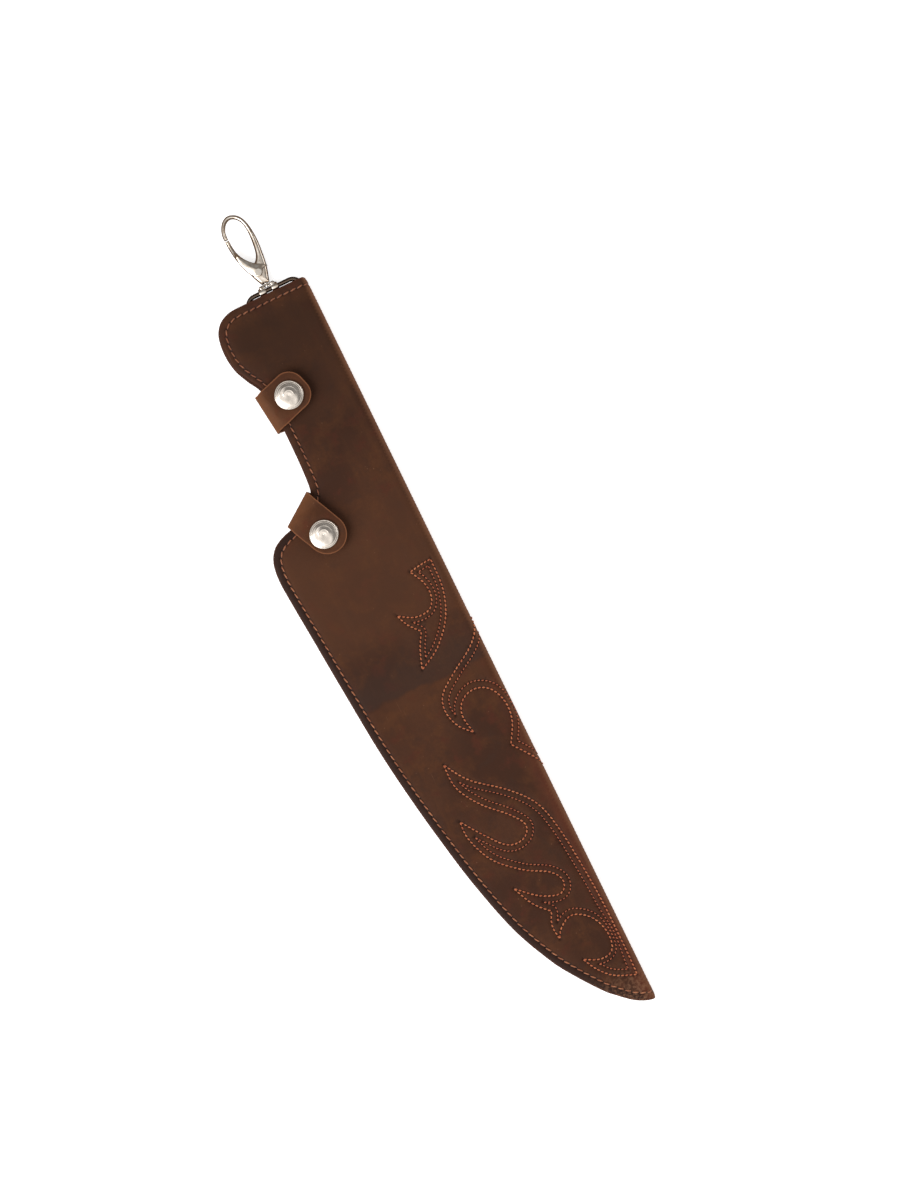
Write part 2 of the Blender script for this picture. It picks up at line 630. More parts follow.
def polished(name, colour, rough, tint=None, spun=False, from_object=False, scratches=0.25):
    """Plated metal with fine wiping marks, slight unevenness, and turning marks if spun."""
    s = Shader(name)
    if from_object:
        place = s.node("ShaderNodeTexCoord").outputs["Object"]
        tex = s.scaled(place, (1000.0, 1000.0, 1000.0))
    else:
        tex = s.value("tex", "Vector")
    cloud = s.noise(tex, 0.35, 3.0, 0.55)
    dust = s.noise(tex, 2.6, 4.0, 0.6)
    wipes = s.noise(s.scaled(tex, (9.0, 0.7, 3.0), 0.5), 1.0, 3.0, 0.6)
    tone = s.mix(s.span(cloud, 0.35, 0.65), colour, tint or tuple(c * 0.86 for c in colour))
    r = s.maths("ADD", rough, s.span(dust, 0.35, 0.75, 0.0, 0.07))
    r = s.maths("ADD", r, s.maths("MULTIPLY", s.span(wipes, 0.6, 0.72), scratches * 0.3))
    height = s.maths("ADD", s.maths("MULTIPLY", cloud, 0.6), s.maths("MULTIPLY", wipes, 0.12))
    normal = s.bump(height, 0.12, 0.0001)
    if spun:
        radius = s.node("ShaderNodeVectorMath", {0: s.scaled(tex, (1.0, 1.0, 0.0))}, operation="LENGTH").outputs["Value"]
        rings = s.maths("SINE", s.maths("ADD", s.maths("MULTIPLY", radius, 24.0), s.maths("MULTIPLY", cloud, 6.0)))
        normal = s.bump(rings, 0.03, 0.00004, normal)
        r = s.maths("ADD", r, 0.05)
    s.set(Base_Color=tone, Metallic=1.0, Roughness=r, Normal=normal)
    return s.mat


BODY_LEATHER = waxed_leather(
    "body_leather", (0.045, 0.0168, 0.0086), (0.064, 0.0240, 0.0114), (0.090, 0.0320, 0.0122),
    (0.20, 0.095, 0.052), (0.070, 0.0240, 0.0130), margin=(0.0275, 0.0118, 0.0078),
    stripe=(0.190, 0.078, 0.038),
)
STRAP_LEATHER = waxed_leather(
    "strap_leather", (0.062, 0.0225, 0.0102), (0.080, 0.0290, 0.0125), (0.105, 0.0390, 0.0160),
    (0.26, 0.13, 0.07), (0.230, 0.088, 0.040), raw_width=0.50, stripe=(0.185, 0.072, 0.029),
)
CORE_LEATHER = waxed_leather(
    "core_leather", (0.045, 0.018, 0.010), (0.070, 0.029, 0.015), (0.10, 0.042, 0.022),
    (0.14, 0.07, 0.04), (0.060, 0.025, 0.013), raw_width=0.8,
)
SEAM_THREAD = twisted_thread("seam_thread", (0.47, 0.180, 0.080), (0.280, 0.076, 0.029))
SCROLL_THREAD = twisted_thread("scroll_thread", (0.60, 0.190, 0.070), (0.40, 0.085, 0.026))
FINE_THREAD = twisted_thread("scroll_thread_fine", (0.52, 0.140, 0.056), (0.34, 0.066, 0.023))
CHROME = polished("chrome", (0.87, 0.80, 0.715), 0.08, (0.66, 0.555, 0.45))
CAP_CHROME = polished("cap_chrome", (0.80, 0.725, 0.65), 0.15, spun=True)
WIRE = polished("dark_wire", (0.16, 0.115, 0.085), 0.18)
STEEL = polished("plain_steel", (0.62, 0.60, 0.575), 0.24, from_object=True, scratches=0.5)
BAIL_CHROME = polished("bail_chrome", (0.85, 0.785, 0.705), 0.09, (0.64, 0.54, 0.44))
PIN_CHROME = polished("pin_chrome", (0.83, 0.77, 0.69), 0.10, from_object=True)

# ---------------------------------------------------------------- stitch lines
plan_edge = np.array(
    smooth_line(TOP_LINE, 0.6)[:-1] + smooth_line(POMMEL_AND_GRIP, 0.6)[:-1]
    + smooth_line(HEEL_AND_BELLY, 0.6)
)
half_edge = np.column_stack([to_q(plan_edge[:, 0]), plan_edge[:, 1]])
half_edge[0, 0] = half_edge[-1, 0] = 0.0
half_edge = resampled(half_edge, 0.94)

# Walking from the hook end round to the tip in (q, Y), the leaf lies to the right.
seam_line = half_edge - left_normals(half_edge) * SEAM_INSET
seam_line = without_loops(seam_line, half_edge, SEAM_INSET)
seam_line = seam_line[seam_line[:, 0] > 0.9]
seam_holes = resampled(seam_line, SEAM_PITCH)


def closed_runs(runs, step):
    """The runs one after another as one closed line."""
    line = []
    for run in runs:
        line += smooth_line(run, step)[:-1]
    return np.array(line)


def split_at_corners(line, degrees=50.0):
    """A closed line as open runs between its sharp corners."""
    along = np.roll(line, -1, 0) - line
    angle = np.arctan2(along[:, 1], along[:, 0])
    turn = np.abs((angle - np.roll(angle, 1) + math.pi) % (2 * math.pi) - math.pi)
    corners = [i for i in range(len(line)) if turn[i] > math.radians(degrees)]
    if not corners:
        return [np.concatenate([line, line[:1]])]
    runs = []
    for a, b in zip(corners, corners[1:] + [corners[0] + len(line)]):
        runs.append(line[[k % len(line) for k in range(a, b + 1)]])
    return [r for r in runs if lengths(r)[-1] > 1.0]


wrap = WRAP_HALF + [[(-q, y) for q, y in run[::-1]] for run in WRAP_HALF[::-1]]
scrolls = {}
for which, runs, inset in (("upper", FLAME, 2.4), ("middle", wrap, 3.2), ("lower", PAISLEY, 3.1)):
    outer_line = closed_runs(runs, 0.5)
    area = np.sum(
        np.roll(outer_line[:, 0], 1) * outer_line[:, 1]
        - outer_line[:, 0] * np.roll(outer_line[:, 1], 1)
    )
    if which == "lower":
        neck = np.exp(-(((outer_line[:, 1] + 362.0) / 11.0) ** 2)) * (outer_line[:, 0] < 20.0)
        inset = inset - 1.55 * neck
    if which == "middle":
        inset = inset + 0.6 * np.exp(-(((np.abs(outer_line[:, 0]) - 17.0) / 6.0) ** 2)) * (
            np.abs(outer_line[:, 1] + 223.0) < 5.0)
    shift = np.broadcast_to(inset, len(outer_line))
    inner_line = outer_line + left_normals(outer_line, True) * (shift if area > 0 else -shift)[:, None]
    inner_line = inner_line[nearest(inner_line, outer_line) > 0.93 * shift]
    outer_runs = [
        np.array(smooth_line(run, 0.4)) for run in runs
    ]
    scrolls[f"{which}_scroll_outer"] = [resampled(r, SCROLL_PITCH) for r in outer_runs]
    scrolls[f"{which}_scroll_inner"] = [
        resampled(r, SCROLL_PITCH * 0.9) for r in split_at_corners(inner_line)
    ]


def strap_frame(strap):
    a, b = Vector(strap["a"]), Vector(strap["b"])
    w = (b - a).normalized()
    u = Vector((-w.y, w.x))
    d = Vector(strap["dir"]).normalized()
    if u.dot(d) < 0:
        u = -u
    return (a + b) / 2, u, w, (b - a).length, d.dot(w) / d.dot(u)


def rounded_rectangle(x0, x1, y0, y1, radius, per_corner=6):
    corners = [(x1, y1, 0), (x0, y1, 90), (x0, y0, 180), (x1, y0, 270)]
    line = []
    for x, y, start in corners:
        cx = x - radius if x == x1 else x + radius
        cy = y - radius if y == y1 else y + radius
        for i in range(per_corner + 1):
            a = math.radians(start + 90 * i / per_corner)
            line.append((cx + radius * math.cos(a), cy + radius * math.sin(a)))
    return line


strap_holes = {}
for which, strap in STRAPS.items():
    centre, u, w, wide, slant = strap_frame(strap)
    d = (u - w * slant).normalized()
    e = Vector((-d.y, d.x))
    loop = rounded_rectangle(13.0, strap["base"] - 3.0, -6.8, 6.8, 1.6, 6)
    loop = np.array([tuple(centre + d * p[0] + e * p[1]) for p in loop + loop[:1]])
    holes = resampled(loop, 2.9)
    # On the back leaf q runs negative.
    strap_holes[which] = np.column_stack([-to_q(holes[:, 0]), holes[:, 1]])

# ---------------------------------------------------------------- the leather body
half_normals = -left_normals(half_edge)
half_normals[0] = (0.0, -1.0)
half_normals[-1] = (0.0, 1.0)
mirror = np.array([-1.0, 1.0])
shy = 1.25 * smoothstep((-20.0 - half_edge[:, 1]) / 14.0) * smoothstep((half_edge[:, 1] + 50.0) / 8.0)
front_edge = half_edge + half_normals * shy[:, None]
edge_loop = np.concatenate([front_edge, half_edge[-2:0:-1] * mirror])
edge_normals = np.concatenate([half_normals, half_normals[-2:0:-1] * mirror])
RIM = [(0.5, 0.0), (0.2, 0.1), (0.05, 0.35), (0.0, 0.8), (0.0, 1.2), (0.05, 1.65), (0.2, 1.9), (0.5, 2.0)]

both_seams = [seam_holes, seam_holes * mirror]
deep_rows = [seam_holes * mirror] + list(strap_holes.values())
scroll_rows = [row for rows in scrolls.values() for row in rows]


class Points:
    """Points kept only where no earlier one is too near."""

    def __init__(self, cell=0.5):
        self.cell, self.table, self.kept = cell, {}, []

    def add(self, points, least):
        reach = int(math.ceil(least / self.cell))
        for x, y in points:
            i, j = int(math.floor(x / self.cell)), int(math.floor(y / self.cell))
            clear = True
            for a in range(i - reach, i + reach + 1):
                for b in range(j - reach, j + reach + 1):
                    for px, py in self.table.get((a, b), ()):
                        if (px - x) ** 2 + (py - y) ** 2 < least * least:
                            clear = False
                            break
                    if not clear:
                        break
                if not clear:
                    break
            if clear:
                self.table.setdefault((i, j), []).append((x, y))
                self.kept.append((x, y))


def ring_round(centres, radius, count, turn=0.0):
    a = np.arange(count) * 2 * math.pi / count + turn
    offsets = np.column_stack([np.cos(a), np.sin(a)]) * radius
    return (centres[:, None] + offsets[None]).reshape(-1, 2)


def within(points, loop):
    """True for each point inside the closed loop."""
    points, a = np.asarray(points, float), np.asarray(loop, float)
    b = np.roll(a, -1, 0)
    out = np.empty(len(points), bool)
    for i in range(0, len(points), 2000):
        x, y = points[i : i + 2000, 0, None], points[i : i + 2000, 1, None]
        spans = (a[:, 1] > y) != (b[:, 1] > y)
        step = np.where(b[:, 1] == a[:, 1], 1e-12, b[:, 1] - a[:, 1])
        crossing = a[:, 0] + (y - a[:, 1]) / step * (b[:, 0] - a[:, 0])
        out[i : i + 2000] = ((spans & (x < crossing)).sum(1) % 2).astype(bool)
    return out


def sheet(boundary, inner_points):
    """Triangles over the area inside boundary, whose points come first, in order."""
    inner_points = np.asarray(inner_points)
    inner_points = inner_points[within(inner_points, boundary)]
    points = [Vector(p) for p in boundary] + [Vector(p) for p in inner_points]
    n = len(boundary)
    ring = [(i, (i + 1) % n) for i in range(n)]
    verts, _, faces, origins, _, _ = delaunay_2d_cdt(points, ring, [], 0, 1e-6, True)
    flat = np.array([tuple(v) for v in verts])
    centres = flat[np.array([f[:3] for f in faces])].mean(1)
    faces = [f for f, inside in zip(faces, within(centres, boundary)) if inside]
    used = sorted({i for f in faces for i in f})
    where = {}
    for out, sources in enumerate(origins):
        for source in sources:
            if source < n:
                where[source] = out
    order = [where[i] for i in range(n)]
    front = set(order)
    order += [i for i in used if i not in front]
    index = {old: new for new, old in enumerate(order)}
    placed = np.array([tuple(verts[i]) for i in order])
    return placed, [tuple(index[i] for i in f) for f in faces]


outer_boundary = edge_loop + edge_normals * 0.5
kept = Points()
kept.add(outer_boundary, 0.0)
for holes in both_seams + list(strap_holes.values()) + scroll_rows:
    kept.add(holes, 0.3)
for holes in both_seams + list(strap_holes.values()):
    kept.add(ring_round(holes, 0.5, 6), 0.24)
for holes in scroll_rows:
    kept.add(ring_round(holes, 0.42, 5), 0.22)
for holes in both_seams + list(strap_holes.values()):
    fine = resampled(holes, 0.94)
    n2 = left_normals(fine)
    for offset in (0.0, 0.75, -0.75, 1.5, -1.5):
        kept.add(fine + n2 * offset, 0.42)
for holes in scroll_rows:
    fine = resampled(holes, 1.0)
    n2 = left_normals(fine)
    for offset in (0.0, 0.8, -0.8):
        kept.add(fine + n2 * offset, 0.42)
for inset in (1.2, 2.0):
    kept.add(edge_loop + edge_normals * inset, 0.55)
columns = QUARTER / 6
fold_grid = [
    (columns * i, -0.6 - 1.9 * j - 0.95 * (i % 2)) for i in range(-7, 8) for j in range(211)
]
kept.add(fold_grid, 0.55)
plain_grid = [
    (i * 1.55, 1.0 - 1.8 * j - 0.9 * (i % 2)) for i in range(-53, 54) for j in range(226)
    if abs(i * 1.55) > 7.0
]
kept.add(plain_grid, 0.9)
top_points, top_faces = sheet(outer_boundary, kept.kept[len(outer_boundary) :])

inner = Points()
inner.add(outer_boundary, 0.0)
inner.add([(columns * i, -1.5 - 3.0 * j) for i in range(-7, 8) for j in range(134)], 0.7)
inner.add([(i * 3.4, -1.5 - 3.4 * j) for i in range(-24, 25) for j in range(119) if abs(i * 3.4) > 8], 1.6)
low_points, low_faces = sheet(outer_boundary, inner.kept[len(outer_boundary) :])

next_edge = np.roll(edge_loop, -1, 0)
hole_set = np.concatenate(both_seams + list(strap_holes.values()) + scroll_rows)
seam_a = np.concatenate([r[:-1] for r in both_seams])
seam_b = np.concatenate([r[1:] for r in both_seams])
deep_a = np.concatenate([r[:-1] for r in deep_rows])
deep_b = np.concatenate([r[1:] for r in deep_rows])
scroll_a = np.concatenate([r[:-1] for r in scroll_rows])
scroll_b = np.concatenate([r[1:] for r in scroll_rows])


def sunk_share(q):
    """1 where the leather lies on the back, so that its stitches are pressed in; 0 on the front."""
    return smoothstep((1.0 - np.asarray(q, float)) / 5.0)


def surface_lift(p):
    """How far the outer surface lies out of its plain shape at points (q, Y), and hole darkness."""
    q, y = p[:, 0], p[:, 1]
    to_edge = to_segments(p, edge_loop, next_edge)
    to_hole = nearest(p, hole_set)
    to_seam = to_segments(p, seam_a, seam_b)
    to_deep = to_segments(p, deep_a, deep_b)
    to_scroll = to_segments(p, scroll_a, scroll_b)
    front = smoothstep((q - 6.0) / 10.0)
    lift = -0.20 * np.exp(-((to_seam / 1.15) ** 2))
    lift -= 0.55 * np.exp(-((to_deep / 0.62) ** 2))
    lift -= 0.10 * np.exp(-((to_scroll / 0.9) ** 2)) * (1 - sunk_share(q))
    lift -= 0.55 * np.exp(-((to_scroll / 0.62) ** 2)) * sunk_share(q)
    lift -= 0.36 * np.exp(-((to_hole / 0.42) ** 2))
    # The margin outside the stitches is pressed thinner towards the edge.
    lift -= 0.24 * (1 - smoothstep(to_edge / 3.4)) * np.where(q < 0, 0.6, 1.0)
    lift -= 0.30 * (1 - smoothstep(to_edge / 1.5)) * np.where(q < 0, 0.3, 1.0)
    wave = (
        0.10 * np.sin(0.043 * y + 0.9) * np.cos(0.061 * q + 0.4)
        + 0.07 * np.sin(0.081 * y + 0.05 * q + 2.1)
        + 0.05 * np.cos(0.13 * y - 0.09 * q + 0.7)
    )
    lift += (wave + 0.04) * front * smoothstep((to_edge - 3.0) / 9.0)
    # Between and inside the scroll's rows the leather stands up a little.
    puff = np.exp(-(((to_scroll - 1.55) / 0.8) ** 2)) * 0.07
    lift += puff * (q > 0)
    for strap in STRAPS.values():
        sx, sy = float(to_q(strap["snap"][0])), strap["snap"][1]
        r = np.hypot(q - sx, y - sy)
        lift -= 0.22 * (1 - smoothstep((r - 5.0) / 4.0)) * (q > 0)
    to_row = np.minimum(to_seam, to_scroll)
    dark = np.maximum(np.exp(-((to_hole / 0.50) ** 4)), 0.30 * np.exp(-((to_row / 0.55) ** 2)))
    return lift, to_edge, dark


lift, to_edge, dark = surface_lift(top_points)
# The rim's first ring keeps the outer sheet's own height there.
rim_lift = lift[: len(outer_boundary)]
verts, edge_attr, hole_attr, depth = [], [], [], []
verts.append(over_leather(top_points[:, 0], top_points[:, 1], lift))
edge_attr.append(to_edge)
hole_attr.append(dark)
for inset, h in RIM[1:-1]:
    ring = edge_loop + edge_normals * inset
    share = max(0.0, 1 - h / 1.0)
    verts.append(over_leather(ring[:, 0], ring[:, 1], -h + rim_lift * share))
    edge_attr.append(np.full(len(ring), inset * 0.4))
    hole_attr.append(np.zeros(len(ring)))
low_start = len(top_points) + (len(RIM) - 2) * len(edge_loop)
verts.append(over_leather(low_points[:, 0], low_points[:, 1], -LEATHER))
edge_attr.append(to_segments(low_points, edge_loop, next_edge))
hole_attr.append(np.zeros(len(low_points)))
faces = [f[::-1] for f in top_faces]
n = len(edge_loop)
starts = [0] + [len(top_points) + k * n for k in range(len(RIM) - 2)] + [low_start]
for a, b in zip(starts, starts[1:]):
    for i in range(n):
        j = (i + 1) % n
        faces.append((a + i, a + j, b + j, b + i))
faces += [tuple(low_start + i for i in f) for f in low_faces]
verts = np.concatenate(verts)
flat_q = np.concatenate(
    [top_points[:, 0]] + [(edge_loop + edge_normals * i)[:, 0] for i, _ in RIM[1:-1]] + [low_points[:, 0]]
)
flat_y = np.concatenate(
    [top_points[:, 1]] + [(edge_loop + edge_normals * i)[:, 1] for i, _ in RIM[1:-1]] + [low_points[:, 1]]
)
tex = np.column_stack([flat_q, flat_y, verts[:, 2] * 0.3])
outside = np.concatenate([np.ones(len(top_points)), np.ones((len(RIM) - 2) * n), np.zeros(len(low_points))])
fold_attr = outside * (1 - smoothstep((np.abs(flat_q) - 2.4) / 2.6))
ruddy_attr = outside * (1 - smoothstep((np.abs(flat_q) - 3.0) / 9.0)) * smoothstep((-150.0 - flat_y) / 190.0)
tip_attr = outside * smoothstep((-372.0 - flat_y) / 24.0)
# Burnished margin: strong along heel and belly, weaker round the grip.
burnish = (0.12 + 0.88 * smoothstep((-104.0 - flat_y) / 8.0)) * smoothstep((np.abs(flat_q) - 4.0) / 6.0)
sheath = build(
    "sheath_leather", verts, faces,
    {"tex": tex, "edge": np.concatenate(edge_attr), "hole": np.concatenate(hole_attr),
     "fold": fold_attr, "burnish": burnish, "tip": tip_attr, "ruddy": ruddy_attr},
    BODY_LEATHER,
)
outward_faces(sheath)
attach(sheath, "sheath")
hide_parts("sheath_body")


# ---------------------------------------------------------------- stitches
def stitch_mesh(name, rows, radius, raised, sunk, slant, mat, body, stands_for, reach=0.84):
    """One mesh of many stitches: each rises from a needle hole, lies along and dives into the next."""
    sides, steps = 8, 9
    t = np.linspace(0.0, 1.0, steps)
    turn = np.arange(sides) / sides
    all_verts, all_faces, all_tex, all_hole, all_soiled = [], [], [], [], []
    count, travelled = 0, 0.0
    rng = np.random.default_rng(7)
    for holes in rows:
        for a, b in zip(holes, holes[1:]):
            length = float(np.hypot(*(b - a)))
            if length < 0.6:
                continue
            along = (b - a) / length
            across = np.array([-along[1], along[0]])
            tilt = slant + rng.uniform(-0.05, 0.05)
            lean = (0.5 - t)[:, None] * across * tilt * 2
            p = a + (b - a) * (0.5 + reach * (t - 0.5))[:, None] + lean
            share = sunk_share(p[:, 0])
            top = raised * (1 - share) + sunk * share
            bottom = np.minimum(top - 0.55, -0.45)
            arch = top - (top - bottom) * np.abs(2 * t - 1) ** 3.4
            path = over_leather(p[:, 0], p[:, 1], arch)
            tangent = np.gradient(path, axis=0)
            tangent /= np.linalg.norm(tangent, axis=1, keepdims=True)
            up = outward(p[:, 0])
            side = np.cross(tangent, up)
            side /= np.linalg.norm(side, axis=1, keepdims=True)
            normal = np.cross(side, tangent)
            size = radius * (1 + rng.uniform(-0.04, 0.04)) * (0.62 + 0.38 * np.sin(math.pi * np.clip(t, 0.06, 0.94)) ** 0.5)
            angle = turn * 2 * math.pi
            ring = (
                path[:, None]
                + side[:, None] * (size[:, None] * np.cos(angle))[..., None]
                + normal[:, None] * (size[:, None] * np.sin(angle) * 0.9)[..., None]
            )
            all_verts.append(ring.reshape(-1, 3))
            all_tex.append(np.stack(
                np.broadcast_arrays(travelled + t[:, None] * length, turn[None], np.float64(len(all_verts) * 0.37)),
                axis=-1).reshape(-1, 3))
            ends = smoothstep((np.abs(2 * t - 1) - 0.60) / 0.36)
            all_hole.append(np.repeat(ends, sides))
            soiled = smoothstep((a[1] + 150.0) / 90.0) * (0.75 + 0.25 * math.sin(0.31 * a[1]))
            all_soiled.append(np.full(sides * steps, soiled))
            all_faces += grid_faces(steps, sides, wrap_cols=True, start=count)
            all_faces.append(tuple(range(count, count + sides))[::-1])
            all_faces.append(tuple(range(count + (steps - 1) * sides, count + steps * sides)))
            count += sides * steps
            travelled += length
    obj = build(name, np.concatenate(all_verts), all_faces,
                {"tex": np.concatenate(all_tex), "hole": np.concatenate(all_hole),
                 "soiled": np.concatenate(all_soiled)}, mat)
    outward_faces(obj)
    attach(obj, body)
    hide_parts(*stands_for)
    return obj


stitch_mesh("front_seam_stitches", [seam_holes], 0.35, 0.06, 0.06, 0.26, SEAM_THREAD,
            "sheath", ["front_seam_thread"], reach=0.85)
stitch_mesh("back_seam_stitches", [seam_holes * mirror], 0.34, -0.37, -0.37, -0.14, SEAM_THREAD,
            "sheath", ["back_seam_thread"])
for row_name, rows in scrolls.items():
    bold = row_name.endswith("outer")
    stitch_mesh(row_name + "_stitches", rows, 0.37 if bold else 0.27, 0.10 if bold else 0.04,
                -0.36, 0.14, SCROLL_THREAD if bold else FINE_THREAD, "sheath",
                [row_name + "_thread"], reach=0.64 if bold else 0.58)
for which, holes in strap_holes.items():
    stitch_mesh(f"{which}_strap_stitches", [holes], 0.33, -0.37, -0.37, 0.1, SEAM_THREAD,
                "sheath", [f"{which}_strap_thread"])

# ---------------------------------------------------------------- welts and ring keeper
def rim_distance(line):
    line = np.asarray(line, float)

    def values(verts):
        d = to_segments(verts[:, :2], line, np.roll(line, -1, 0))
        return {"edge": d, "hole": np.zeros(len(verts))}

    return values


belly = np.array(smooth_line(HEEL_AND_BELLY, 1.5))
outer = inset_line(belly, 0.45)
outer = outer[outer[:, 0] < -3.4]
inside = without_loops(inset_line(belly, WELT_WIDTH), belly, WELT_WIDTH)
inside = inside[inside[:, 0] < -3.4]
welts = {
    "belly_welt": np.concatenate([outer, [(-3.4, -397.6), (-3.4, -386.0)], inside[::-1]]),
    "top_welt": np.array(smooth_line(
        [(-34.9, 1.1), (-38.0, 1.1), (-41.3, 0.9), (-44.6, -0.1), (-47.2, -1.6), (-49.3, -4.1),
         (-48.4, -6.8), (-46.0, -8.3), (-43.5, -7.6), (-41.0, -6.9), (-37.5, -6.7), (-34.9, -6.6),
         (-34.8, -3.0)], 0.8, True)),
    "ring_keeper": np.array(rounded_rectangle(-28.6, -7.2, -6.4, 0.8, 0.9, 5)),
}
for piece, line in welts.items():
    if piece == "ring_keeper":
        line = np.concatenate([resampled(np.vstack([a, b]), 1.0)[:-1] for a, b in zip(line, np.roll(line, -1, 0))])
    obj = pillow(piece + "_leather", line, WELT_T / 2, 0.5, CORE_LEATHER, steps=4,
                 z_mid=LEATHER + GAP + WELT_T / 2, extra=rim_distance(line))
    sharpen(obj, 70)
    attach(obj, "sheath")
    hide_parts(piece)


# ---------------------------------------------------------------- snap straps
def strap_rows(strap):
    """Middle surface of a strap from its sewn base, round the leaf's edge, to its rounded tab."""
    centre, u, w, wide, slant = strap_frame(strap)
    centre, u, w = np.array(centre), np.array(u), np.array(w)
    half = wide / 2 / math.sqrt(1 + slant * slant)
    z_low, z_high = BASE_Z + STRAP_T / 2, TAB_Z + STRAP_T / 2
    u0 = STRAP_T / 2
    columns = 21
    v = np.linspace(-1, 1, columns)
    v = np.sign(v) * np.abs(v) ** 0.85

    def end_rows(start_u, length, corner, side, z):
        d = u + w * slant * side
        d /= np.linalg.norm(d)
        e = np.array([-d[1], d[0]])
        if e @ w < 0:
            e = -e
        ends = []
        for s in (-wide / 2, wide / 2):
            p = u * start_u + w * (s + side * slant * start_u)
            ends.append((p @ d, p @ e))
        rows = []
        straight = length - corner
        count = max(3, round((straight - max(ends[0][0], ends[1][0])) / 0.9))
        for k in range(count + 1):
            t = k / count
            a0 = ends[0][0] + (straight - ends[0][0]) * t
            a1 = ends[1][0] + (straight - ends[1][0]) * t
            rows.append(((a0, -half), (a1, half)))
        for k in range(1, 13):
            t = math.radians(90 * k / 12)
            a, hw = straight + corner * math.sin(t), half - corner + corner * math.cos(t)
            rows.append(((a, -hw), (a, hw)))
        out = []
        for (a0, c0), (a1, c1) in rows:
            share = (v + 1) / 2
            along = a0 + (a1 - a0) * share
            across = c0 + (c1 - c0) * share
            p = centre + along[:, None] * d + across[:, None] * e
            rim = np.minimum(
                half - np.abs(across),
                np.where(
                    along > straight,
                    corner - np.hypot(along - straight, np.maximum(np.abs(across) - (half - corner), 0)),
                    1e3,
                ),
            )
            out.append((np.column_stack([p, np.full(columns, z)]), along, across, np.maximum(rim, 0)))
        return out

    base = end_rows(3.2, strap["base"], 3.0, -1, z_low)[::-1]
    tab = end_rows(u0 + HIGH_CORNER + 0.15, strap["length"], strap["corner"], 1, z_high)
    bend = []
    path = [(3.0, z_low)]
    for i in range(1, 9):
        a = math.radians(270 - 90 * i / 8)
        path.append((u0 + LOW_CORNER + LOW_CORNER * math.cos(a), z_low + LOW_CORNER + LOW_CORNER * math.sin(a)))
    z_a, z_b = path[-1][1], z_high - HIGH_CORNER
    for i in range(1, 3):
        path.append((u0, z_a + (z_b - z_a) * i / 3))
    for i in range(13):
        a = math.radians(180 - 90 * i / 12)
        path.append((u0 + HIGH_CORNER + HIGH_CORNER * math.cos(a), z_high - HIGH_CORNER + HIGH_CORNER * math.sin(a)))
    run = 0.0
    last = path[0]
    for u_mm, z in path:
        run += math.hypot(u_mm - last[0], z - last[1])
        last = (u_mm, z)
        side = 2 * (z - z_low) / (z_high - z_low) - 1
        s = v * wide / 2
        p = centre + u * u_mm + (s + side * slant * u_mm)[:, None] * w
        across = v * half
        bend.append((np.column_stack([p, np.full(columns, z)]), np.full(columns, run - 12.0), across, half - np.abs(across)))
    # Lengths along the strap, measured through from base to tab.
    rows = []
    for p, along, across, rim in base:
        rows.append((p, -along - 10.0, -across, rim))
    rows += bend
    for p, along, across, rim in tab:
        rows.append((p, along, across, rim))
    return rows, columns


